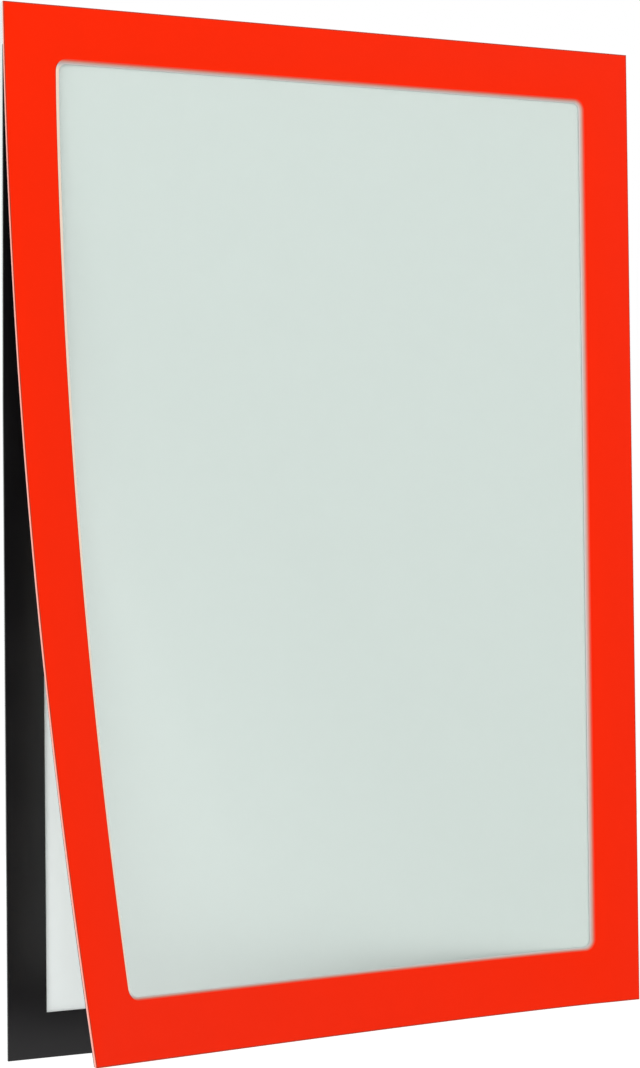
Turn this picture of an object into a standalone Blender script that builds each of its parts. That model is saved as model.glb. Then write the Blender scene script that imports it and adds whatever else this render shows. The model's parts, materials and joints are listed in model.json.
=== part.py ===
# Magnetic document frame for a wall, shown with its lower left corner peeled open.
#
# A clear back sheet sticks to the wall and carries four black magnetic strips, which
# make a shallow tray for one A4 sheet. The front is a red cover with a die-cut window,
# a clear film behind it and four strips of its own. It hangs on a folded film along
# its right edge, and its magnets close it all round.
#
# Metres, +Z up. The wall is the plane Y = 0 and the front faces -Y. The origin lies in
# the middle of the bottom mounting tape's rear face.

import math

import bmesh
import bpy
from mathutils import Matrix, Vector

MM = 0.001

# The document and the tray of magnetic strips round it
SHEET_WIDTH = 210 * MM
SHEET_HEIGHT = 297 * MM
SHEET_THICKNESS = 0.12 * MM
SHEET_CLEARANCE = 0.3 * MM
STRIP_WIDTH = 13 * MM
BUTT_GAP = 0.05 * MM
BACK_STRIP_THICKNESS = 0.6 * MM
TOP_STRIP_SETBACK = 1.0 * MM

# The back sheet and the tapes that hold it to the wall
BACK_SHEET_THICKNESS = 0.3 * MM
TAPE_INSET = 2 * MM
TAPE_WIDTH = STRIP_WIDTH - 2 * TAPE_INSET
TAPE_THICKNESS = 0.25 * MM
TAPE_END_GAP = 3 * MM

# The front cover, its window and the film behind it
COVER_THICKNESS = 0.8 * MM
COVER_LAP_TOP = 4.2 * MM
COVER_LAP_BOTTOM = 5.2 * MM
COVER_LAP_LEFT = 4.8 * MM
COVER_LAP_HINGE = 5.5 * MM
WINDOW_RADIUS = 4 * MM
WINDOW_CUT_SLOPE = 1.0 * MM
WINDOW_ARC_STEPS = 6
WINDOW_FILM_THICKNESS = 0.15 * MM
WINDOW_FILM_INSET = 0.8 * MM
FRONT_STRIP_THICKNESS = 0.45 * MM
FRONT_STRIP_INSET = 0.5 * MM

# Adhesive between bonded layers
GLUE_LINE = 0.04 * MM

# The folded film that hinges the front along its right edge
HINGE_FILM_THICKNESS = 0.1 * MM
HINGE_LEAF_WIDTH = 10 * MM
HINGE_END_INSET = 2 * MM
HINGE_MARGIN = 0.4 * MM
FOLD_GAP = 0.06 * MM
FOLD_ARC_STEPS = 6

# How the front peels open: it stays flat up to a line from its top left corner to the
# foot of the hinge side strip, then bends about lines parallel to that one. It takes on
# the release slope at once where the magnets let go, and the rest of the corner's slope
# more and more slowly towards the free corner.
CORNER_SLOPE = math.radians(23.6)
RELEASE_SLOPE = math.radians(2.7)
RELEASE_LENGTH = 4 * MM
BEND_EASE = 1.26
FOLD_COUNT = 24

# A vertex nearer than this to a fold line is moved onto it
SNAP = 0.001 * MM

WIDTH = SHEET_WIDTH + 2 * (SHEET_CLEARANCE + STRIP_WIDTH)
HEIGHT = SHEET_HEIGHT + 2 * (SHEET_CLEARANCE + STRIP_WIDTH)
LEFT = -WIDTH / 2
RIGHT = WIDTH / 2
BOTTOM = -(TAPE_INSET + TAPE_WIDTH / 2)
TOP = BOTTOM + HEIGHT

# Each layer's two depths, counted from the wall outwards
TAPE = (0, TAPE_THICKNESS)
BACK_SHEET = (TAPE[1] + GLUE_LINE, TAPE[1] + GLUE_LINE + BACK_SHEET_THICKNESS)
BACK_STRIP = (BACK_SHEET[1] + GLUE_LINE, BACK_SHEET[1] + GLUE_LINE + BACK_STRIP_THICKNESS)
INSERT = (BACK_SHEET[1] + GLUE_LINE, BACK_SHEET[1] + GLUE_LINE + SHEET_THICKNESS)
CLOSED_GAP = 2 * (GLUE_LINE + HINGE_FILM_THICKNESS) + FOLD_GAP
HINGE_DEPTH = BACK_STRIP[1] + CLOSED_GAP / 2
FRONT_STRIP = (BACK_STRIP[1] + CLOSED_GAP, BACK_STRIP[1] + CLOSED_GAP + FRONT_STRIP_THICKNESS)
WINDOW_FILM = (FRONT_STRIP[1] + GLUE_LINE, FRONT_STRIP[1] + GLUE_LINE + WINDOW_FILM_THICKNESS)
COVER = (WINDOW_FILM[1] + GLUE_LINE, WINDOW_FILM[1] + GLUE_LINE + COVER_THICKNESS)

# The peel line, its direction up to the left, and the way across it to the free corner
PEEL_FOOT = Vector((RIGHT - STRIP_WIDTH, 0, BOTTOM))
PEEL_ALONG = (Vector((LEFT, 0, TOP)) - PEEL_FOOT).normalized()
PEEL_ACROSS = Vector((-PEEL_ALONG.z, 0, PEEL_ALONG.x))
PEEL_REACH = (Vector((LEFT, 0, BOTTOM)) - PEEL_FOOT).dot(PEEL_ACROSS)
FOLD_STEP = PEEL_REACH / FOLD_COUNT


def material(name, colour, roughness, alpha=1.0):
    """One Principled material; colour is linear red, green and blue."""
    made = bpy.data.materials.new(name)
    made.use_nodes = True
    shader = made.node_tree.nodes["Principled BSDF"]
    shader.inputs["Base Color"].default_value = (*colour, 1)
    shader.inputs["Roughness"].default_value = roughness
    shader.inputs["Metallic"].default_value = 0
    shader.inputs["Alpha"].default_value = alpha
    return made


def slope(across):
    """Angle of the bent front against the back, at a distance across the peel line."""
    released = 1 - math.exp(-across / RELEASE_LENGTH)
    bend = 1 - (1 - across / PEEL_REACH) ** BEND_EASE
    return RELEASE_SLOPE * released + (CORNER_SLOPE - RELEASE_SLOPE) * bend


def bend_profile():
    """The bent front seen along the peel line: a point and a mitre at each fold line."""
    slopes = [slope((i + 0.5) * FOLD_STEP) for i in range(FOLD_COUNT)]
    points = [Vector((0, 0))]
    for angle in slopes:
        points.append(points[-1] + FOLD_STEP * Vector((math.cos(angle), math.sin(angle))))
    normals = [Vector((-math.sin(a), math.cos(a))) for a in [0, *slopes, slopes[-1]]]
    mitres = [(a + b) / (1 + a.dot(b)) for a, b in zip(normals, normals[1:])]
    return points, mitres


PROFILE_POINTS, PROFILE_MITRES = bend_profile()


def bent(point):
    """Where a point of the closed front lies when its corner is peeled open."""
    offset = Vector((point.x, 0, point.z)) - PEEL_FOOT
    across = offset.dot(PEEL_ACROSS)
    if across <= 0:
        return point
    fold = min(int(across / FOLD_STEP), FOLD_COUNT - 1)
    share = across / FOLD_STEP - fold
    middle = PROFILE_POINTS[fold].lerp(PROFILE_POINTS[fold + 1], share)
    mitre = PROFILE_MITRES[fold].lerp(PROFILE_MITRES[fold + 1], share)
    reach, lift = middle + (-point.y - HINGE_DEPTH) * mitre
    place = PEEL_FOOT + offset.dot(PEEL_ALONG) * PEEL_ALONG + reach * PEEL_ACROSS
    return Vector((place.x, -HINGE_DEPTH - lift, place.z))


def fold_and_bend(bm):
    """Cut a closed flat shape along every fold line, then peel it open."""
    for i in range(FOLD_COUNT):
        bmesh.ops.bisect_plane(
            bm,
            geom=bm.verts[:] + bm.edges[:] + bm.faces[:],
            dist=SNAP,
            plane_co=PEEL_FOOT + i * FOLD_STEP * PEEL_ACROSS,
            plane_no=PEEL_ACROSS,
        )
    for vertex in bm.verts:
        vertex.co = bent(vertex.co)


def add_object(name, bm, finish, axis=None):
    """Turn a bmesh into a named object, carried by the empty on its joint's axis."""
    bmesh.ops.recalc_face_normals(bm, faces=bm.faces[:])
    mesh = bpy.data.meshes.new(name)
    bm.to_mesh(mesh)
    bm.free()
    mesh.materials.append(finish)
    made = bpy.data.objects.new(name, mesh)
    bpy.context.collection.objects.link(made)
    if axis:
        made.parent = axis
        made.matrix_parent_inverse = axis.matrix_world.inverted()
    return made


def add_axis(name, place, direction, parent=None):
    """An empty whose Z lies along a joint's axis."""
    made = bpy.data.objects.new(name, None)
    bpy.context.collection.objects.link(made)
    made.empty_display_size = STRIP_WIDTH
    turn = Vector((0, 0, 1)).rotation_difference(direction).to_matrix().to_4x4()
    if parent:
        made.parent = parent
        made.matrix_parent_inverse = parent.matrix_world.inverted()
    made.matrix_world = Matrix.Translation(place) @ turn
    bpy.context.view_layer.update()
    return made


def block(x_range, z_range, depths):
    """A flat rectangular layer, as a bmesh."""
    low = Vector((x_range[0], -depths[1], z_range[0]))
    high = Vector((x_range[1], -depths[0], z_range[1]))
    bm = bmesh.new()
    size = Matrix.Diagonal((*(high - low), 1))
    bmesh.ops.create_cube(bm, size=1, matrix=Matrix.Translation((low + high) / 2) @ size)
    return bm


def rounded_window(grow):
    """The window's outline, anticlockwise from the top of its upper left corner."""
    left = LEFT + STRIP_WIDTH + COVER_LAP_LEFT + WINDOW_RADIUS
    right = RIGHT - STRIP_WIDTH - COVER_LAP_HINGE - WINDOW_RADIUS
    bottom = BOTTOM + STRIP_WIDTH + COVER_LAP_BOTTOM + WINDOW_RADIUS
    top = TOP - STRIP_WIDTH - COVER_LAP_TOP - WINDOW_RADIUS
    radius = WINDOW_RADIUS + grow
    outline = []
    for corner, (x, z) in enumerate([(left, top), (left, bottom), (right, bottom), (right, top)]):
        for step in range(WINDOW_ARC_STEPS + 1):
            turn = math.radians(90 * (corner + 1 + step / WINDOW_ARC_STEPS))
            outline.append((x + radius * math.cos(turn), z + radius * math.sin(turn)))
    return outline


def cover():
    """The flat cover: a sheet with a rounded window whose cut edge slopes outwards."""
    bm = bmesh.new()
    outside = [(LEFT, TOP), (LEFT, BOTTOM), (RIGHT, BOTTOM), (RIGHT, TOP)]
    rims, windows = [], []
    for depth, grow in ((COVER[0], -WINDOW_CUT_SLOPE), (COVER[1], 0)):
        rim = [bm.verts.new((x, -depth, z)) for x, z in outside]
        window = [bm.verts.new((x, -depth, z)) for x, z in rounded_window(grow)]
        for corner in range(4):
            first = corner * (WINDOW_ARC_STEPS + 1)
            last = first + WINDOW_ARC_STEPS
            for i in range(first, last):
                bm.faces.new((rim[corner], window[i], window[i + 1]))
            following = (last + 1) % len(window)
            bm.faces.new((rim[corner], window[last], window[following], rim[(corner + 1) % 4]))
        rims.append(rim)
        windows.append(window)
    for inner, outer in (rims, windows):
        for i in range(len(inner)):
            j = (i + 1) % len(inner)
            bm.faces.new((inner[i], inner[j], outer[j], outer[i]))
    return bm


def hinge_film():
    """A film folded back on itself, one leaf on the back's strips and one on the front's."""
    inner_radius = FOLD_GAP / 2
    outer_radius = inner_radius + HINGE_FILM_THICKNESS
    fold_x = RIGHT - outer_radius
    turns = [math.radians(90 - 180 * i / FOLD_ARC_STEPS) for i in range(FOLD_ARC_STEPS + 1)]
    directions = [(fold_x, math.cos(turn), math.sin(turn)) for turn in turns]
    leaf_end = RIGHT - HINGE_LEAF_WIDTH
    directions = [(leaf_end, 0, 1), *directions, (leaf_end, 0, -1)]
    bm = bmesh.new()
    section = []
    for x, across, outwards in directions:
        pair = [
            bm.verts.new((x + r * across, -HINGE_DEPTH + r * outwards, BOTTOM + HINGE_END_INSET))
            for r in (inner_radius, outer_radius)
        ]
        section.append(pair)
    faces = [
        bm.faces.new((a[0], a[1], b[1], b[0])) for a, b in zip(section, section[1:])
    ]
    grown = bmesh.ops.extrude_face_region(bm, geom=faces, use_keep_orig=True)["geom"]
    rise = Vector((0, 0, HEIGHT - 2 * HINGE_END_INSET))
    bmesh.ops.translate(bm, vec=rise, verts=[v for v in grown if isinstance(v, bmesh.types.BMVert)])
    return bm


def back_layers():
    """Everything that stays on the wall."""
    inner_bottom = BOTTOM + STRIP_WIDTH + BUTT_GAP
    inner_top = TOP - STRIP_WIDTH - BUTT_GAP
    hinge_side = RIGHT - HINGE_MARGIN
    add_object("back_sheet", block((LEFT, RIGHT), (BOTTOM, TOP), BACK_SHEET), CLEAR_FILM)
    strips = {
        "top": ((LEFT + TOP_STRIP_SETBACK, hinge_side), (TOP - STRIP_WIDTH, TOP)),
        "bottom": ((LEFT, hinge_side), (BOTTOM, BOTTOM + STRIP_WIDTH)),
        "left": ((LEFT, LEFT + STRIP_WIDTH), (inner_bottom, inner_top)),
        "right": ((RIGHT - STRIP_WIDTH, hinge_side), (inner_bottom, inner_top)),
    }
    for side, (x_range, z_range) in strips.items():
        add_object(f"back_strip_{side}", block(x_range, z_range, BACK_STRIP), BLACK_MAGNET)
    x_range = (-SHEET_WIDTH / 2, SHEET_WIDTH / 2)
    middle = (BOTTOM + TOP) / 2
    z_range = (middle - SHEET_HEIGHT / 2, middle + SHEET_HEIGHT / 2)
    add_object("insert_sheet", block(x_range, z_range, INSERT), PALE_PAPER)


def mounting_tapes():
    """Four adhesive tapes on the back sheet's rear face."""
    left, right = LEFT + TAPE_INSET, RIGHT - TAPE_INSET
    bottom, top = BOTTOM + TAPE_INSET, TOP - TAPE_INSET
    upright = (bottom + TAPE_WIDTH + TAPE_END_GAP, top - TAPE_WIDTH - TAPE_END_GAP)
    tapes = {
        "top": ((left, right), (top - TAPE_WIDTH, top)),
        "bottom": ((left, right), (bottom, bottom + TAPE_WIDTH)),
        "left": ((left, left + TAPE_WIDTH), upright),
        "right": ((right - TAPE_WIDTH, right), upright),
    }
    for side, (x_range, z_range) in tapes.items():
        add_object(f"mounting_tape_{side}", block(x_range, z_range, TAPE), ADHESIVE_TAPE)


def front_layers(hinge_axis, peel_axis):
    """The hinged front, bent where its lower left corner is peeled open."""
    left, bottom = LEFT + FRONT_STRIP_INSET, BOTTOM + FRONT_STRIP_INSET
    hinge_side, top = RIGHT - HINGE_MARGIN, TOP - FRONT_STRIP_INSET
    below_top = TOP - STRIP_WIDTH - BUTT_GAP
    strips = {
        "top": ((left, hinge_side), (TOP - STRIP_WIDTH, top), hinge_axis),
        "right": ((RIGHT - STRIP_WIDTH, hinge_side), (bottom, below_top), hinge_axis),
        "bottom": ((left, RIGHT - STRIP_WIDTH - BUTT_GAP), (bottom, BOTTOM + STRIP_WIDTH), peel_axis),
        "left": ((left, LEFT + STRIP_WIDTH), (BOTTOM + STRIP_WIDTH + BUTT_GAP, below_top), peel_axis),
    }
    for side, (x_range, z_range, axis) in strips.items():
        bm = block(x_range, z_range, FRONT_STRIP)
        fold_and_bend(bm)
        add_object(f"front_strip_{side}", bm, DARK_MAGNET, axis)
    film = block((LEFT + WINDOW_FILM_INSET, RIGHT - WINDOW_FILM_INSET),
                 (BOTTOM + WINDOW_FILM_INSET, TOP - WINDOW_FILM_INSET), WINDOW_FILM)
    fold_and_bend(film)
    add_object("window_film", film, WINDOW_CLEAR, hinge_axis)
    sheet = cover()
    fold_and_bend(sheet)
    add_object("front_cover", sheet, RED_COVER, hinge_axis)


for old in list(bpy.data.objects):
    bpy.data.objects.remove(old, do_unlink=True)

CLEAR_FILM = material("clear_back_film", (0.80, 0.82, 0.82), 0.25, alpha=0.35)
BLACK_MAGNET = material("black_magnetic_strip", (0.010, 0.009, 0.010), 0.35)
DARK_MAGNET = material("dark_magnetic_strip", (0.013, 0.012, 0.013), 0.45)
PALE_PAPER = material("pale_paper", (0.70, 0.77, 0.75), 0.9)
ADHESIVE_TAPE = material("adhesive_tape", (0.75, 0.73, 0.68), 0.6)
HINGE_CLEAR = material("clear_hinge_film", (0.80, 0.82, 0.82), 0.2, alpha=0.35)
WINDOW_CLEAR = material("matte_window_film", (0.85, 0.88, 0.87), 0.3, alpha=0.25)
RED_COVER = material("red_cover", (0.93, 0.021, 0.004), 0.5)

back_layers()
mounting_tapes()
hinge_line = add_axis("front_hinge_axis", Vector((RIGHT, -HINGE_DEPTH, BOTTOM)), Vector((0, 0, 1)))
peel_place = PEEL_FOOT + Vector((0, -HINGE_DEPTH, 0))
peel_line = add_axis("corner_peel_axis", peel_place, PEEL_ALONG, hinge_line)
front_layers(hinge_line, peel_line)
add_object("hinge_film", hinge_film(), HINGE_CLEAR, hinge_line)
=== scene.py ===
import json
import math

import bmesh
import bpy
from mathutils import Matrix, Vector


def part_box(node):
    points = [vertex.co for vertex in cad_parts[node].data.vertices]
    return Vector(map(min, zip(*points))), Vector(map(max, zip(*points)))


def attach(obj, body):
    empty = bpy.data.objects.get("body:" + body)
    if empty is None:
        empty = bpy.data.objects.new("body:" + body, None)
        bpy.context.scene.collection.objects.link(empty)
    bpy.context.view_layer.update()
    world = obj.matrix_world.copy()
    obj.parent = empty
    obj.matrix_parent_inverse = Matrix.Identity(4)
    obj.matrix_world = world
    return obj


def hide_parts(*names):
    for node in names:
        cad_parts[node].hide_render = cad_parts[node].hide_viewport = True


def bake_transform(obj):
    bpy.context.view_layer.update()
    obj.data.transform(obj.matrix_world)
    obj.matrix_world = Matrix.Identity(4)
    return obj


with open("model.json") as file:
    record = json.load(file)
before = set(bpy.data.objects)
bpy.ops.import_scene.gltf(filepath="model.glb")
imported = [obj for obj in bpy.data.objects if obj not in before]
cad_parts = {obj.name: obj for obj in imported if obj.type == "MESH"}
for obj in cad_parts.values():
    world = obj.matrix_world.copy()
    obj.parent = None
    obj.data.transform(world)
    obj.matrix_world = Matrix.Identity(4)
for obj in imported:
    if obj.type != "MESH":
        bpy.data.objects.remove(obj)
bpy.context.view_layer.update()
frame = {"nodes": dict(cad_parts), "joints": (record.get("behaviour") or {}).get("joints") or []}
nodes = frame["nodes"]
joints = {joint["name"]: joint for joint in frame["joints"]}
mm = 0.001
print("frame loaded:", len(nodes), "nodes")


# Small helpers for the materials

def hexToLinear(hexColour):
    channels = [int(hexColour[i:i + 2], 16) / 255 for i in (1, 3, 5)]
    linear = [c / 12.92 if c <= 0.04045 else ((c + 0.055) / 1.055) ** 2.4 for c in channels]
    return (*linear, 1)


def perMetre(sizeMm):
    # the noise scale at which one cloud is about this wide on the real piece
    return 1 / (sizeMm * mm)


def addNode(tree, kind, inputs=None, settings=None):
    # an input that is a node or a socket is linked, a node by its first output
    node = tree.nodes.new(kind)
    for name, value in (settings or {}).items():
        setattr(node, name, value)
    for name, value in (inputs or {}).items():
        if isinstance(value, bpy.types.Node):
            value = value.outputs[0]
        if isinstance(value, bpy.types.NodeSocket):
            tree.links.new(value, node.inputs[name])
        else:
            node.inputs[name].default_value = value
    return node


def newMaterial(name):
    material = bpy.data.materials.new(name)
    material.use_nodes = True
    tree = material.node_tree
    tree.nodes.clear()
    output = addNode(tree, "ShaderNodeOutputMaterial")
    return material, tree, output.inputs["Surface"]


def spreadNoise(limits):
    # a noise texture stays between about 0.3 and 0.7, and this spreads it over the limits
    return {"From Min": 0.3, "From Max": 0.7, "To Min": limits[0], "To Max": limits[1]}


# PVC sheet, calendered: coloured right through its face layer, with a fine matte grain
# that keeps the red deep and leaves hardly any white gloss on it.
redVinyl = {
    "colour": "#F92603",
    "cloudMm": 14,      # faint unevenness of the rolled colour
    "cloudShade": (0.985, 1.0),
    "grainMm": 0.7,     # real grain is about 0.2 mm, drawn coarser so that it shows
    "grainDepthMm": 0.006,
    "roughness": (0.46, 0.56),
    "refraction": 1.53,
    "gloss": 0.16,
    "glossTint": (1.0, 0.2, 0.08, 1),
}


def calenderedRedVinyl():
    material, tree, surface = newMaterial("calendered_red_vinyl")
    place = addNode(tree, "ShaderNodeTexCoord").outputs["Object"]
    cloud = addNode(tree, "ShaderNodeTexNoise", {"Vector": place, "Scale": perMetre(redVinyl["cloudMm"])})
    grain = addNode(tree, "ShaderNodeTexNoise", {"Vector": place, "Scale": perMetre(redVinyl["grainMm"])})
    shade = addNode(tree, "ShaderNodeMapRange", {"Value": cloud, **spreadNoise(redVinyl["cloudShade"])})
    colour = addNode(tree, "ShaderNodeHueSaturation", {
        "Color": hexToLinear(redVinyl["colour"]), "Value": shade})
    roughness = addNode(tree, "ShaderNodeMapRange", {"Value": grain, **spreadNoise(redVinyl["roughness"])})
    relief = addNode(tree, "ShaderNodeBump", {"Height": grain, "Distance": redVinyl["grainDepthMm"] * mm})
    shader = addNode(tree, "ShaderNodeBsdfPrincipled", {
        "Base Color": colour,
        "Roughness": roughness,
        "Normal": relief,
        "IOR": redVinyl["refraction"],
        "Specular IOR Level": redVinyl["gloss"],
        "Specular Tint": redVinyl["glossTint"],
    })
    tree.links.new(shader.outputs["BSDF"], surface)
    return material


# The sheet's pale core, bared where a steel rule cut it. Its waxy cream shows whole only on the left side's
# cut, painted there as the lit side. Down the other cuts the colours are painted light and shade: red at
# the face fades through pink as painted red bounce light, to grey at the foot as painted shade.
vinylCore = {
    # position on the ramp, and the colour there: below 1 painted red bounce light and painted shade, at 1
    # the core's cream, painted as the lit side
    "windowCoreAndPaintedLight": ((0.0, "#F8300E"), (0.16, "#E4462F"), (0.3, "#D8745F"), (0.45, "#CE9A8C"),
                      (0.6, "#C6ACA8"), (0.8, "#D4CECC"), (1.0, "#FFE2CC")),
    "outsideColours": ((0.0, "#F08470"), (1.0, "#EEB9AE")),    # from the face to the rear
    "chatterMm": 1.5,   # faint chatter marks along the cut
    "chatterShade": (0.96, 1.0),
    "roughness": (0.5, 0.65),
    "gloss": 0.3,
}


def dieCutVinylCore(name, colours):
    material, tree, surface = newMaterial(name)
    place = addNode(tree, "ShaderNodeTexCoord").outputs["Object"]
    chatter = addNode(tree, "ShaderNodeTexNoise", {
        "Vector": place, "Scale": perMetre(vinylCore["chatterMm"])})
    # the ramp position, which on the window's cut carries painted light and painted shade
    coreAndPaintedLight = addNode(tree, "ShaderNodeAttribute", None, {"attribute_name": "core_and_painted_light"})
    ramp = addNode(tree, "ShaderNodeValToRGB", {"Fac": coreAndPaintedLight.outputs["Fac"]})
    points = ramp.color_ramp.elements
    while len(points) < len(colours):
        points.new(1.0)
    for point, (position, hexColour) in zip(points, colours):
        point.position = position
        point.color = hexToLinear(hexColour)
    shade = addNode(tree, "ShaderNodeMapRange", {
        "Value": chatter, **spreadNoise(vinylCore["chatterShade"])})
    colour = addNode(tree, "ShaderNodeHueSaturation", {"Color": ramp, "Value": shade})
    roughness = addNode(tree, "ShaderNodeMapRange", {
        "Value": chatter, **spreadNoise(vinylCore["roughness"])})
    shader = addNode(tree, "ShaderNodeBsdfPrincipled", {
        "Base Color": colour,
        "Roughness": roughness,
        "IOR": redVinyl["refraction"],
        "Specular IOR Level": vinylCore["gloss"],
    })
    tree.links.new(shader.outputs["BSDF"], surface)
    return material


# Where the cutting rule pressed the red face down beside a cut, that turned-down strip is given a darker
# red as painted shade, so it reads as a thin darker line.
pressedRedShade = {
    "colour": "#B63A24",
    "drawMm": 3,        # how often the line's depth changes along the cut
    "drawShade": (0.9, 1.0),
    "roughness": 0.5,
}


def pressedEdgePaintedShade():
    material, tree, surface = newMaterial("pressed_edge_painted_shade")
    place = addNode(tree, "ShaderNodeTexCoord").outputs["Object"]
    draw = addNode(tree, "ShaderNodeTexNoise", {"Vector": place, "Scale": perMetre(pressedRedShade["drawMm"])})
    shade = addNode(tree, "ShaderNodeMapRange", {"Value": draw, **spreadNoise(pressedRedShade["drawShade"])})
    colour = addNode(tree, "ShaderNodeHueSaturation", {
        "Color": hexToLinear(pressedRedShade["colour"]), "Value": shade})
    shader = addNode(tree, "ShaderNodeBsdfPrincipled", {
        "Base Color": colour,
        "Roughness": pressedRedShade["roughness"],
        "IOR": redVinyl["refraction"],
        "Specular IOR Level": redVinyl["gloss"],
        "Specular Tint": redVinyl["glossTint"],
    })
    tree.links.new(shader.outputs["BSDF"], surface)
    return material


# Clear film, extruded or calendered: lets nearly all light through, with a faint tint, a
# little haze, and more mirror towards the grazing angles. Light crosses two faces of it, and
# the values are those of one face.
filmMirror = {
    "straightOn": 0.02,
    "grazing": 0.5,
    "climb": 5,         # the power at which the mirror rises towards the grazing angles
    "refraction": 1.5,
}
antiGlareFilm = {       # vinyl, with a satin face against glare
    "tint": "#FAFBFA", "haze": 0.12, "hazeColour": "#D4E0DC",
    "roughness": (0.27, 0.37), "rippleMm": 6, "rippleDepthMm": 0.004,
}
polyesterSheet = {
    "tint": "#FAFCFB", "haze": 0.05, "hazeColour": "#DDE2E1",
    "roughness": (0.15, 0.21), "rippleMm": 18, "rippleDepthMm": 0.01,
}
foldedPolyester = {     # thinner, and a little uneven from its fold
    "tint": "#FAFCFB", "haze": 0.04, "hazeColour": "#DDE2E1",
    "roughness": (0.13, 0.17), "rippleMm": 2, "rippleDepthMm": 0.004,
}


def clearFilm(name, film):
    material, tree, surface = newMaterial(name)
    place = addNode(tree, "ShaderNodeTexCoord").outputs["Object"]
    ripple = addNode(tree, "ShaderNodeTexNoise", {"Vector": place, "Scale": perMetre(film["rippleMm"])})
    relief = addNode(tree, "ShaderNodeBump", {"Height": ripple, "Distance": film["rippleDepthMm"] * mm})
    roughness = addNode(tree, "ShaderNodeMapRange", {"Value": ripple, **spreadNoise(film["roughness"])})
    through = addNode(tree, "ShaderNodeBsdfTransparent", {"Color": hexToLinear(film["tint"])})
    skin = addNode(tree, "ShaderNodeBsdfPrincipled", {
        "Base Color": hexToLinear(film["hazeColour"]),
        "Roughness": roughness,
        "Normal": relief,
        "IOR": filmMirror["refraction"],
    })
    edgeOn = addNode(tree, "ShaderNodeLayerWeight", {"Normal": relief}).outputs["Facing"]
    rise = addNode(tree, "ShaderNodeMath", {0: edgeOn, 1: filmMirror["climb"]}, {"operation": "POWER"})
    share = addNode(tree, "ShaderNodeMath", {
        0: rise, 1: filmMirror["grazing"], 2: filmMirror["straightOn"] + film["haze"],
    }, {"operation": "MULTIPLY_ADD"})
    mixed = addNode(tree, "ShaderNodeMixShader", {0: share, 1: through, 2: skin})
    tree.links.new(mixed.outputs["Shader"], surface)
    return material


# Magnetic rubber, calendered strip: ferrite powder in a black binder. The face left by
# the polished roll is smooth and half glossy, with faint lines along the strip.
magnetRubber = {
    "colour": "#100E10",
    "lineMm": 1.2,      # spacing of the roll's lines
    "lineStretch": 0.02,    # the lines are fifty times as long as they are wide
    "lineDetail": 1.0,
    "lineDepthMm": 0.002,
    "cloudMm": 25,
    "cloudShade": (0.94, 1.06),
    "polished": (0.33, 0.38),
    "satin": (0.38, 0.5),
    "refraction": 1.5,
    "gloss": 0.35,
}


def calenderedMagnet(name, alongX, roughness):
    material, tree, surface = newMaterial(name)
    place = addNode(tree, "ShaderNodeTexCoord").outputs["Object"]
    stretch = (magnetRubber["lineStretch"], 1, 1) if alongX else (1, 1, magnetRubber["lineStretch"])
    along = addNode(tree, "ShaderNodeMapping", {"Vector": place, "Scale": stretch})
    lines = addNode(tree, "ShaderNodeTexNoise", {
        "Vector": along, "Scale": perMetre(magnetRubber["lineMm"]),
        "Detail": magnetRubber["lineDetail"]})
    cloud = addNode(tree, "ShaderNodeTexNoise", {
        "Vector": place, "Scale": perMetre(magnetRubber["cloudMm"])})
    shade = addNode(tree, "ShaderNodeMapRange", {
        "Value": cloud, **spreadNoise(magnetRubber["cloudShade"])})
    colour = addNode(tree, "ShaderNodeHueSaturation", {
        "Color": hexToLinear(magnetRubber["colour"]), "Value": shade})
    patchyGloss = addNode(tree, "ShaderNodeMapRange", {"Value": cloud, **spreadNoise(roughness)})
    relief = addNode(tree, "ShaderNodeBump", {
        "Height": lines, "Distance": magnetRubber["lineDepthMm"] * mm})
    shader = addNode(tree, "ShaderNodeBsdfPrincipled", {
        "Base Color": colour,
        "Roughness": patchyGloss,
        "Normal": relief,
        "IOR": magnetRubber["refraction"],
        "Specular IOR Level": magnetRubber["gloss"],
    })
    tree.links.new(shader.outputs["BSDF"], surface)
    return material


# Blank office paper, machine made and uncoated: dead matte, with the cloudy look-through
# and the short fibres of its felt side.
paper = {
    "colour": "#F8FDFC",
    "cloudMm": 3.5,
    "cloudShade": (0.99, 1.0),
    "fibreMm": 0.5,
    "fibreStretch": (1, 1, 0.4),
    "fibreDepthMm": 0.003,
    "detail": 3.0,
    "roughness": 0.92,
    "gloss": 0.2,
}


def uncoatedPaper():
    material, tree, surface = newMaterial("uncoated_pale_paper")
    place = addNode(tree, "ShaderNodeTexCoord").outputs["Object"]
    cloud = addNode(tree, "ShaderNodeTexNoise", {
        "Vector": place, "Scale": perMetre(paper["cloudMm"]), "Detail": paper["detail"]})
    along = addNode(tree, "ShaderNodeMapping", {"Vector": place, "Scale": paper["fibreStretch"]})
    fibre = addNode(tree, "ShaderNodeTexNoise", {
        "Vector": along, "Scale": perMetre(paper["fibreMm"]), "Detail": paper["detail"]})
    shade = addNode(tree, "ShaderNodeMapRange", {"Value": cloud, **spreadNoise(paper["cloudShade"])})
    colour = addNode(tree, "ShaderNodeHueSaturation", {
        "Color": hexToLinear(paper["colour"]), "Value": shade})
    relief = addNode(tree, "ShaderNodeBump", {"Height": fibre, "Distance": paper["fibreDepthMm"] * mm})
    shader = addNode(tree, "ShaderNodeBsdfPrincipled", {
        "Base Color": colour,
        "Roughness": paper["roughness"],
        "Normal": relief,
        "Specular IOR Level": paper["gloss"],
    })
    tree.links.new(shader.outputs["BSDF"], surface)
    return material


# Double-sided tape, acrylic adhesive on tissue: slightly yellow, with the tissue's
# fibres and a soft sheen where the liner came off.
tissueTape = {
    "colour": "#DCD8C8",
    "fibreMm": 1.4,
    "fibreDetail": 4.0,
    "fibreShade": (0.9, 1.0),
    "fibreDepthMm": 0.02,
    "roughness": (0.3, 0.5),
    "refraction": 1.48,
}


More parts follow.
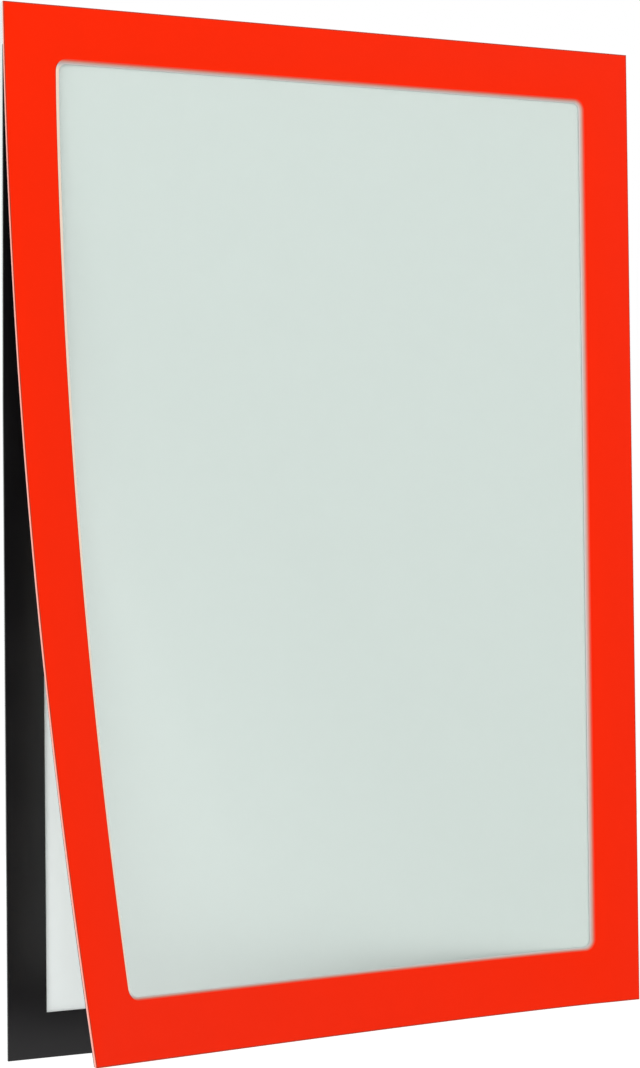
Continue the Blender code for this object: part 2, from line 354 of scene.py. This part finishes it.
def acrylicTape():
    material, tree, surface = newMaterial("acrylic_tissue_tape")
    place = addNode(tree, "ShaderNodeTexCoord").outputs["Object"]
    fibre = addNode(tree, "ShaderNodeTexNoise", {
        "Vector": place, "Scale": perMetre(tissueTape["fibreMm"]), "Detail": tissueTape["fibreDetail"]})
    shade = addNode(tree, "ShaderNodeMapRange", {
        "Value": fibre, **spreadNoise(tissueTape["fibreShade"])})
    colour = addNode(tree, "ShaderNodeHueSaturation", {
        "Color": hexToLinear(tissueTape["colour"]), "Value": shade})
    roughness = addNode(tree, "ShaderNodeMapRange", {
        "Value": fibre, **spreadNoise(tissueTape["roughness"])})
    relief = addNode(tree, "ShaderNodeBump", {"Height": fibre, "Distance": tissueTape["fibreDepthMm"] * mm})
    shader = addNode(tree, "ShaderNodeBsdfPrincipled", {
        "Base Color": colour,
        "Roughness": roughness,
        "Normal": relief,
        "IOR": tissueTape["refraction"],
    })
    tree.links.new(shader.outputs["BSDF"], surface)
    return material


redFace = calenderedRedVinyl()
# the window's cut: the core's cream, with painted shade, painted red bounce light and a painted lit side
windowCut = dieCutVinylCore("die_cut_core_painted_light", vinylCore["windowCoreAndPaintedLight"])
outsideCut = dieCutVinylCore("sheared_vinyl_edge", vinylCore["outsideColours"])
# a darker red, painted as shade on the pressed edges
redEdgeShade = pressedEdgePaintedShade()
windowClear = clearFilm("anti_glare_vinyl_film", antiGlareFilm)
backClear = clearFilm("clear_polyester_sheet", polyesterSheet)
hingeClear = clearFilm("creased_polyester_film", foldedPolyester)
blackAcross = calenderedMagnet("calendered_magnet_across", True, magnetRubber["polished"])
blackUpright = calenderedMagnet("calendered_magnet_upright", False, magnetRubber["polished"])
rearAcross = calenderedMagnet("satin_magnet_across", True, magnetRubber["satin"])
rearUpright = calenderedMagnet("satin_magnet_upright", False, magnetRubber["satin"])
palePaper = uncoatedPaper()
tape = acrylicTape()
print("materials made:", len(bpy.data.materials))


# The front bends about lines parallel to the peel joint's axis, on the same curve as the
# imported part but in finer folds.
peel = {
    "cornerSlope": math.radians(23.6),  # slope of the sheet at its free corner
    "releaseSlope": math.radians(2.7),  # taken on at once where the magnets let go
    "releaseLength": 4 * mm,
    "ease": 1.26,                       # how soon the slope levels out
    "folds": 96,
}
backLow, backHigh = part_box("back_sheet")
left, right, bottom, top = backLow.x, backHigh.x, backLow.z, backHigh.z
peelFoot = Vector(joints["corner_peel"]["pos_m"])
peelAlong = Vector(joints["corner_peel"]["axis"]).normalized()
peelAcross = Vector((-peelAlong.z, 0, peelAlong.x))
neutralDepth = -peelFoot.y
peelReach = (Vector((left, peelFoot.y, bottom)) - peelFoot).dot(peelAcross)
foldStep = peelReach / peel["folds"]


def bendProfile():
    slopes = []
    for i in range(peel["folds"]):
        across = (i + 0.5) * foldStep
        released = 1 - math.exp(-across / peel["releaseLength"])
        climb = 1 - (1 - across / peelReach) ** peel["ease"]
        slopes.append(peel["releaseSlope"] * released
                      + (peel["cornerSlope"] - peel["releaseSlope"]) * climb)
    points = [Vector((0, 0))]
    for slope in slopes:
        points.append(points[-1] + foldStep * Vector((math.cos(slope), math.sin(slope))))
    normals = [Vector((-math.sin(a), math.cos(a))) for a in [0, *slopes, slopes[-1]]]
    mitres = [(a + b) / (1 + a.dot(b)) for a, b in zip(normals, normals[1:])]
    return points, mitres


profilePoints, profileMitres = bendProfile()


def acrossPeel(point):
    return (Vector((point.x, 0, point.z)) - Vector((peelFoot.x, 0, peelFoot.z))).dot(peelAcross)


def onProfile(values, across):
    fold = min(int(across / foldStep), peel["folds"] - 1)
    return values[fold].lerp(values[fold + 1], across / foldStep - fold)


def bent(point):
    across = acrossPeel(point)
    if across <= 0:
        return point
    reach, lift = onProfile(profilePoints, across) + (
        (-point.y - neutralDepth) * onProfile(profileMitres, across))
    flat = Vector((point.x - peelFoot.x, 0, point.z - peelFoot.z))
    place = peelFoot + flat.dot(peelAlong) * peelAlong + reach * peelAcross
    return Vector((place.x, -neutralDepth - lift, place.z))


smoothUpTo = math.radians(20)   # faces that meet at less than this are shaded as one
cutTolerance = 0.0005 * mm      # a point this near a cutting plane already lies on it


def finishPiece(name, bm, materials):
    bmesh.ops.recalc_face_normals(bm, faces=bm.faces[:])
    for face in bm.faces:
        face.smooth = True
    for edge in bm.edges:
        edge.smooth = edge.is_manifold and edge.calc_face_angle() < smoothUpTo
    mesh = bpy.data.meshes.new(name)
    bm.to_mesh(mesh)
    bm.free()
    for material in materials:
        mesh.materials.append(material)
    piece = bpy.data.objects.new(name, mesh)
    bpy.context.scene.collection.objects.link(piece)
    return piece


def cutAcross(bm, point, normal):
    bmesh.ops.bisect_plane(bm, geom=bm.verts[:] + bm.edges[:] + bm.faces[:],
                           dist=cutTolerance, plane_co=point, plane_no=normal)


def addBackPiece(name, bm, material, cadNode):
    piece = finishPiece(name, bm, [material])
    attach(piece, "back")
    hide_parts(cadNode)


def addBentPiece(name, bm, materials, cadNode):
    # cut a flat closed shape along the fold lines and peel it open on the peel's curve
    for i in range(peel["folds"]):
        cutAcross(bm, peelFoot + i * foldStep * peelAcross, peelAcross)
    for vertex in bm.verts:
        vertex.co = bent(vertex.co)
    piece = finishPiece(name, bm, materials)
    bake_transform(piece)
    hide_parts(cadNode)


def flatBlock(xRange, zRange, depths):
    low = Vector((xRange[0], -depths[1], zRange[0]))
    high = Vector((xRange[1], -depths[0], zRange[1]))
    bm = bmesh.new()
    size = Matrix.Diagonal((*(high - low), 1))
    bmesh.ops.create_cube(bm, size=1, matrix=Matrix.Translation((low + high) / 2) @ size)
    return bm


# The cover: a red face on a pale core, die cut with a rounded window. The window's cut
# rolls over from the face and then falls away, so its edge shows all round.
cover = {
    "thickness": 0.8 * mm,
    "pressedWidth": 0.35 * mm,   # the outer edge, where the cutting rule pressed the face
    "pressedDepth": 0.08 * mm,
    "stripWidth": 13 * mm,
    "laps": {"top": 3.4 * mm, "left": 4.8 * mm, "bottom": 5.0 * mm, "right": 5.2 * mm},
    "cutSlopes": {"top": 1.6 * mm, "left": 1.4 * mm, "bottom": 1.2 * mm, "right": 1.8 * mm},
    "windowRadius": 4 * mm,
    "shoulder": 0.14,            # the thin painted shade line where the rule went in, as a share of the cut
    "paintedLitFrom": 0.5,            # that painted shade line is drawn where the cut's painted light is at least this strong
    "cutFall": 1.4,              # the power at which the cut falls away from the face
    "footPaintedShade": 0.8,             # ramp position at the cut's foot, whose grey is painted shade
    "cutSteps": 6,
    "arcSteps": 14,
}
onFace, onWindowCut, onPaintedShadeLine, onOutsideCut = range(4)     # the sheet's finishes, in order
coverFinishes = [redFace, windowCut, redEdgeShade, outsideCut]


def windowOutline(share):
    # points round the cut, from share 0 at the red face to share 1 at its foot, each with its share of
    # painted light: 1 on the left side's cut, painted as the lit side, and 0 on the other sides, which are
    # painted in shade
    edge = {side: cover["stripWidth"] + lap + cover["windowRadius"]
            for side, lap in cover["laps"].items()}
    centres = [(left + edge["left"], top - edge["top"]),
               (left + edge["left"], bottom + edge["bottom"]),
               (right - edge["right"], bottom + edge["bottom"]),
               (right - edge["right"], top - edge["top"])]
    slopes = list(cover["cutSlopes"].values())
    outline = []
    for corner, (x, z) in enumerate(centres):
        before, after = slopes[corner], slopes[(corner + 1) % 4]
        for step in range(cover["arcSteps"] + 1):
            turned = step / cover["arcSteps"]
            turn = math.radians(90 * (corner + 1 + turned))
            radius = cover["windowRadius"] - share * (before + turned * (after - before))
            # painted light: the left side's cut is painted lit, the others are not
            paintedLit = max(0, -math.cos(turn)) ** 2
            outline.append((x + radius * math.cos(turn), z + radius * math.sin(turn), paintedLit))
    return outline


def rectangle(inset):
    return [(left + inset, top - inset), (left + inset, bottom + inset),
            (right - inset, bottom + inset), (right - inset, top - inset)]


def fillAround(bm, rim, window, materialIndex):
    # the flat face between a rectangle's corners and the window
    perCorner = cover["arcSteps"] + 1
    for corner in range(4):
        first = corner * perCorner
        last = first + perCorner - 1
        following = (last + 1) % len(window)
        faces = [(rim[corner], window[i], window[i + 1]) for i in range(first, last)]
        faces.append((rim[corner], window[last], window[following], rim[(corner + 1) % 4]))
        for face in faces:
            bm.faces.new(face).material_index = materialIndex


def joinRings(bm, inner, outer, materialIndex):
    for i in range(len(inner)):
        j = (i + 1) % len(inner)
        bm.faces.new((inner[i], inner[j], outer[j], outer[i])).material_index = materialIndex


def coverSheet():
    rear = -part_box("front_cover")[1].y
    thickness = cover["thickness"]
    front = rear + thickness
    bm = bmesh.new()
    # each point's ramp position, which on the window's cut carries painted light and painted shade
    coreAndPaintedLight = bm.verts.layers.float.new("core_and_painted_light")

    def addPoint(x, z, below, bare):
        vertex = bm.verts.new((x, below - front, z))
        vertex[coreAndPaintedLight] = bare
        return vertex

    # the sheared outer edge: how far below the face each ring is, how far in and how bare
    rims = []
    for below, inset, bare in ((thickness, 0, 1.0), (cover["pressedDepth"], 0, 0.0),
                               (0, cover["pressedWidth"], 0.0)):
        rims.append([addPoint(x, z, below, bare) for x, z in rectangle(inset)])
    windows = []
    for step in range(cover["cutSteps"], -1, -1):
        share = step / cover["cutSteps"]
        below = thickness * share ** cover["cutFall"]
        # down the cut, red fading to grey towards the foot is painted red bounce light and painted shade
        paintedShadeDown = cover["footPaintedShade"] * share
        windows.append([addPoint(x, z, below, paintedShadeDown + paintedLit * (1 - paintedShadeDown))
                        for x, z, paintedLit in windowOutline(share)])
    shoulder = windowOutline(-cover["shoulder"])
    shoulderPoints = [addPoint(x, z, 0, 0.0) for x, z, paintedLit in shoulder]
    # on the left side's cut, the shoulder gets the thin darker red painted as shade
    for i, (x, z, paintedLit) in enumerate(shoulder):
        j = (i + 1) % len(shoulder)
        face = bm.faces.new((windows[-1][i], windows[-1][j], shoulderPoints[j], shoulderPoints[i]))
        face.material_index = onPaintedShadeLine if paintedLit > cover["paintedLitFrom"] else onFace
    fillAround(bm, rims[0], windows[0], onWindowCut)
    fillAround(bm, rims[-1], shoulderPoints, onFace)
    joinRings(bm, rims[0], rims[1], onOutsideCut)
    # the pressed outer edge, in a darker red painted as shade
    joinRings(bm, rims[1], rims[2], onPaintedShadeLine)
    for deeper, higher in zip(windows, windows[1:]):
        joinRings(bm, deeper, higher, onWindowCut)
    return bm


addBentPiece("cover_sheet", coverSheet(), coverFinishes, "front_cover")
print("cover made")


# The clear film behind the whole cover
windowFilm = {"thickness": 0.15 * mm, "inset": 0.8 * mm}
filmRear = -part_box("window_film")[1].y
filmInset = windowFilm["inset"]
film = flatBlock((left + filmInset, right - filmInset), (bottom + filmInset, top - filmInset),
                 (filmRear, filmRear + windowFilm["thickness"]))
addBentPiece("window_sheet", film, [windowClear], "window_film")
print("window film made")


# The magnetic strips on the front's rear. The right one stays flat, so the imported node
# itself is shown.
frontStrips = {"inset": 0.5 * mm, "buttGap": 0.05 * mm, "hingeMargin": 0.4 * mm}
stripLow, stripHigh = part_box("front_strip_right")
stripDepths = (-stripHigh.y, -stripLow.y)
stripWidth = cover["stripWidth"]
stripInset, gap = frontStrips["inset"], frontStrips["buttGap"]
stripPieces = {     # reach across, reach upright and finish
    "top": ((left + stripInset, right - frontStrips["hingeMargin"]),
            (top - stripWidth, top - stripInset), rearAcross),
    "bottom": ((left + stripInset, right - stripWidth - gap),
               (bottom + stripInset, bottom + stripWidth), rearAcross),
    "left": ((left + stripInset, left + stripWidth),
             (bottom + stripWidth + gap, top - stripWidth - gap), rearUpright),
}
for side, (xRange, zRange, material) in stripPieces.items():
    bm = flatBlock(xRange, zRange, stripDepths)
    addBentPiece("front_magnet_" + side, bm, [material], "front_strip_" + side)
print("front strips made")


# The film folded along the right edge, built as it lies closed: one leaf towards the back, the other
# towards the front, joined round the fold. Each point's share of the turn is listed, but nothing here uses
# it.
hingeFold = {
    "leaf": 10 * mm,
    "thickness": 0.1 * mm,
    "gap": 0.06 * mm,           # between the two leaves
    "endInset": 2 * mm,
    "arcSteps": 16,
}


def foldedFilm():
    inner = hingeFold["gap"] / 2
    outer = inner + hingeFold["thickness"]
    foldX, leafEnd = right - outer, right - hingeFold["leaf"]
    stations = [(leafEnd, 0.0, -1.0, 0.0)]  # place along X, fold direction, share of the turn
    for i in range(hingeFold["arcSteps"] + 1):
        share = i / hingeFold["arcSteps"]
        turn = math.pi * (share - 0.5)
        stations.append((foldX, math.cos(turn), math.sin(turn), share))
    stations.append((leafEnd, 0.0, 1.0, 1.0))
    bm = bmesh.new()
    shares, rings = [], []
    for x, across, outwards, share in stations:
        ring = []
        for z in (bottom + hingeFold["endInset"], top - hingeFold["endInset"]):
            for r in (inner, outer):
                ring.append(bm.verts.new((x + r * across, -neutralDepth - r * outwards, z)))
                shares.append(share)
        rings.append([ring[0], ring[1], ring[3], ring[2]])
    for a, b in zip(rings, rings[1:]):
        for i in range(4):
            bm.faces.new((a[i], a[(i + 1) % 4], b[(i + 1) % 4], b[i]))
    bm.faces.new(rings[0])
    bm.faces.new(rings[-1])
    return bm, shares


bm, shares = foldedFilm()
fold = finishPiece("hinge_fold", bm, [hingeClear])
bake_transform(fold)
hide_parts("hinge_film")
print("hinge film made")


# The document: one sheet of paper, which never lies quite flat in its tray. It rises from
# its left and bottom edges, stands off at the others, and lies just behind the window.
document = {
    "footAbove": 14.3 * mm,     # its foot, over the frame's bottom edge
    "bow": 1.24 * mm,
    "easeIn": 7 * mm,       # how far in from those edges it takes on most of the bow
    "footEase": 0.1,        # how soon the bottom edge itself rises, away from the left corner
    "finest": 0.8 * mm,     # grid step at the edges, growing inwards
    "growth": 1.35,
}


def gridLines(low, high):
    lines, step = [0.0], document["finest"]
    while lines[-1] + step < (high - low) / 2:
        lines.append(lines[-1] + step)
        step *= document["growth"]
    return [low + d for d in lines] + [high - d for d in reversed(lines)]


def bowedSheet():
    low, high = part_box("insert_sheet")
    low.z = bottom + document["footAbove"]

    def rise(x, z):
        near = [x - low.x, z - low.z + document["footEase"] * (x - low.x)]
        return document["bow"] * math.prod(1 - math.exp(-d / document["easeIn"]) for d in near)

    bm = bmesh.new()
    columns, rows = gridLines(low.x, high.x), gridLines(low.z, high.z)
    # the rear and the front face as grids, then the sheet's rim between them
    layers = [[[bm.verts.new((x, y - rise(x, z), z)) for z in rows] for x in columns]
              for y in (high.y, low.y)]
    for grid in layers:
        for a, b in zip(grid, grid[1:]):
            for i in range(len(rows) - 1):
                bm.faces.new((a[i], b[i], b[i + 1], a[i + 1]))
    rims = [[grid[0][i] for i in range(len(rows))]
            + [column[-1] for column in grid[1:]]
            + [grid[-1][i] for i in range(len(rows) - 2, -1, -1)]
            + [column[0] for column in reversed(grid[1:-1])] for grid in layers]
    joinRings(bm, rims[0], rims[1], 0)
    return bm


addBackPiece("document_sheet", bowedSheet(), palePaper, "insert_sheet")
print("document made")


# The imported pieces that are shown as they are. Tape and the free strip have eased edges, and
# the back's strips stay sharp, because they butt.
easedEdges = {"tape": 0.06 * mm, "strip": 0.08 * mm, "segments": 2}


def dressNode(name, material, ease=0):
    node = nodes[name]
    node.data.materials.clear()
    node.data.materials.append(material)
    if ease:
        bevel = node.modifiers.new("eased_edges", "BEVEL")
        bevel.width = ease
        bevel.segments = easedEdges["segments"]
        bevel.limit_method = "ANGLE"


for side in ("top", "bottom", "left", "right"):
    dressNode("mounting_tape_" + side, tape, easedEdges["tape"])
dressNode("back_strip_top", blackAcross)
dressNode("back_strip_right", blackUpright)
dressNode("front_strip_right", rearUpright, easedEdges["strip"])
print("packed pieces dressed")


# The back's left and bottom edges are seen past the front. There the bottom strip and the
# carrier end a little above the cover's edge, the strip is a little wider than the others,
# and the left strip stands on it, with an outer edge that draws in towards its top.
backEdges = {
    "rise": 0.45 * mm,
    "stripTop": 14.2 * mm,
    "drawIn": 0.75 * mm,
    "drawInFrom": 200 * mm,     # over the frame's bottom edge
}


def backBlock(cadNode, footEnd, topEnd=None):
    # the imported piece's block, with its own ends over the frame's bottom edge
    low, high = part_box(cadNode)
    zRange = (bottom + footEnd, bottom + topEnd if topEnd else high.z)
    return flatBlock((low.x, high.x), zRange, (-high.y, -low.y))


def sideStrip():
    low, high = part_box("back_strip_left")
    bm = backBlock("back_strip_left", backEdges["stripTop"])
    cutAcross(bm, (0, 0, bottom + backEdges["drawInFrom"]), (0, 0, 1))
    for vertex in bm.verts:
        if vertex.co.x < low.x + mm and vertex.co.z > high.z - mm:
            vertex.co.x += backEdges["drawIn"]
    return bm


footStrip = backBlock("back_strip_bottom", backEdges["rise"], backEdges["stripTop"])
carrier = backBlock("back_sheet", backEdges["rise"])
addBackPiece("foot_magnet", footStrip, blackAcross, "back_strip_bottom")
addBackPiece("side_magnet", sideStrip(), blackUpright, "back_strip_left")
addBackPiece("carrier_sheet", carrier, backClear, "back_sheet")
print("back's edges made")


# Studio: a pale floor well below the hanging frame, white all round for the camera
studio = {
    "floorBelow": 0.42,         # metres under the frame's bottom edge
    "floorSize": 9.0,
    "floorColour": "#E9EAEA",
    "floorLift": 0.46,          # what the camera sees on top of the lit floor
    "ambient": 0.70,
}


def whiteForCamera(tree):
    # 1 for rays from the camera, from gloss and from glass, otherwise 0
    path = addNode(tree, "ShaderNodeLightPath")
    gloss = addNode(tree, "ShaderNodeMath", {
        0: path.outputs["Is Glossy Ray"], 1: path.outputs["Is Transmission Ray"],
    }, {"operation": "MAXIMUM"})
    return addNode(tree, "ShaderNodeMath", {
        0: path.outputs["Is Camera Ray"], 1: gloss,
    }, {"operation": "MAXIMUM"})


def makeWorld():
    world = bpy.data.worlds.new("white_studio")
    bpy.context.scene.world = world
    world.use_nodes = True
    tree = world.node_tree
    tree.nodes.clear()
    strength = addNode(tree, "ShaderNodeMapRange", {
        "Value": whiteForCamera(tree), "To Min": studio["ambient"], "To Max": 1.0})
    light = addNode(tree, "ShaderNodeBackground", {"Color": (1, 1, 1, 1), "Strength": strength})
    addNode(tree, "ShaderNodeOutputWorld", {"Surface": light})


def makeFloor():
    half = studio["floorSize"] / 2
    level = bottom - studio["floorBelow"]
    bm = bmesh.new()
    corners = [bm.verts.new((x, y, level)) for x, y in
               ((-half, -half), (half, -half), (half, half), (-half, half))]
    bm.faces.new(corners)
    material, tree, surface = newMaterial("pale_floor")
    lit = addNode(tree, "ShaderNodeBsdfDiffuse", {"Color": hexToLinear(studio["floorColour"])})
    lift = addNode(tree, "ShaderNodeMath", {
        0: whiteForCamera(tree), 1: studio["floorLift"],
    }, {"operation": "MULTIPLY"})
    glow = addNode(tree, "ShaderNodeEmission", {"Strength": lift})
    both = addNode(tree, "ShaderNodeAddShader", {0: lit, 1: glow})
    tree.links.new(both.outputs["Shader"], surface)
    floor = finishPiece("studio_floor", bm, [material])


# Softboxes. Level is how brightly each alone lights a white card held square to it at
# the frame, so the watts follow from the distance.
softboxes = {
    "upper_left": {"place": (-1.12, -1.8, 1.28), "size": 1.8, "level": 0.16},
    "far_left": {"place": (-2.15, -0.46, 0.25), "size": 0.8, "level": 0.36},
    "upper_right": {"place": (1.2, -1.7, 1.2), "size": 1.6, "level": 0.16},
    "behind": {"place": (0.7, 1.9, 0.9), "size": 1.8, "level": 0.2},
}
frameMiddle = Vector((0, 0, (bottom + top) / 2))


def makeSoftbox(name, settings):
    light = bpy.data.lights.new(name, "AREA")
    light.shape = "SQUARE"
    light.size = settings["size"]
    place = Vector(settings["place"])
    toFrame = frameMiddle - place
    light.energy = settings["level"] * (math.pi * toFrame.length) ** 2
    softbox = bpy.data.objects.new(name, light)
    softbox.location = place
    softbox.rotation_mode = "QUATERNION"
    softbox.rotation_quaternion = toFrame.to_track_quat("-Z", "Y")
    bpy.context.scene.collection.objects.link(softbox)


makeWorld()
makeFloor()
for name, settings in softboxes.items():
    makeSoftbox(name, settings)
print("studio made")


# The camera, fitted to the photograph's edges: it stands to the left of the frame, level
# with its lower half, with a long lens.
photoView = {
    "place": (-0.5288, -0.8667, 0.1491),
    "yaw": 0.5330,              # radians to the right of +Y
    "pitch": 0.0339,
    "roll": -0.0105,
    "imageWidth": 640,
    "imageHeight": 1068,
    "focalPixels": 3127.5,
    "axisPixelX": 286.3,        # where the lens axis meets the picture
    "axisPixelY": 440.5,
    "sensorMm": 36,
    "nearest": 0.01,            # metres, how near and how far it sees
    "farthest": 100,
}


def makeCamera():
    yaw, pitch, roll = photoView["yaw"], photoView["pitch"], photoView["roll"]
    ahead = Vector((math.sin(yaw) * math.cos(pitch), math.cos(yaw) * math.cos(pitch), math.sin(pitch)))
    levelRight = Vector((math.cos(yaw), -math.sin(yaw), 0))
    levelUp = levelRight.cross(ahead)
    rightward = levelRight * math.cos(roll) + levelUp * math.sin(roll)
    upward = levelUp * math.cos(roll) - levelRight * math.sin(roll)
    longSide = photoView["imageHeight"]
    data = bpy.data.cameras.new("photo_camera")
    data.sensor_width = photoView["sensorMm"]
    data.lens = photoView["focalPixels"] / longSide * photoView["sensorMm"]
    data.shift_x = (photoView["imageWidth"] / 2 - photoView["axisPixelX"]) / longSide
    data.shift_y = (photoView["axisPixelY"] - longSide / 2) / longSide
    data.clip_start = photoView["nearest"]
    data.clip_end = photoView["farthest"]
    camera = bpy.data.objects.new("photo_camera", data)
    axes = Matrix((rightward, upward, -ahead)).transposed().to_4x4()
    camera.matrix_world = Matrix.Translation(photoView["place"]) @ axes
    bpy.context.scene.collection.objects.link(camera)
    bpy.context.scene.camera = camera


makeCamera()
bpy.context.scene.view_settings.view_transform = "Standard"
print("camera set")
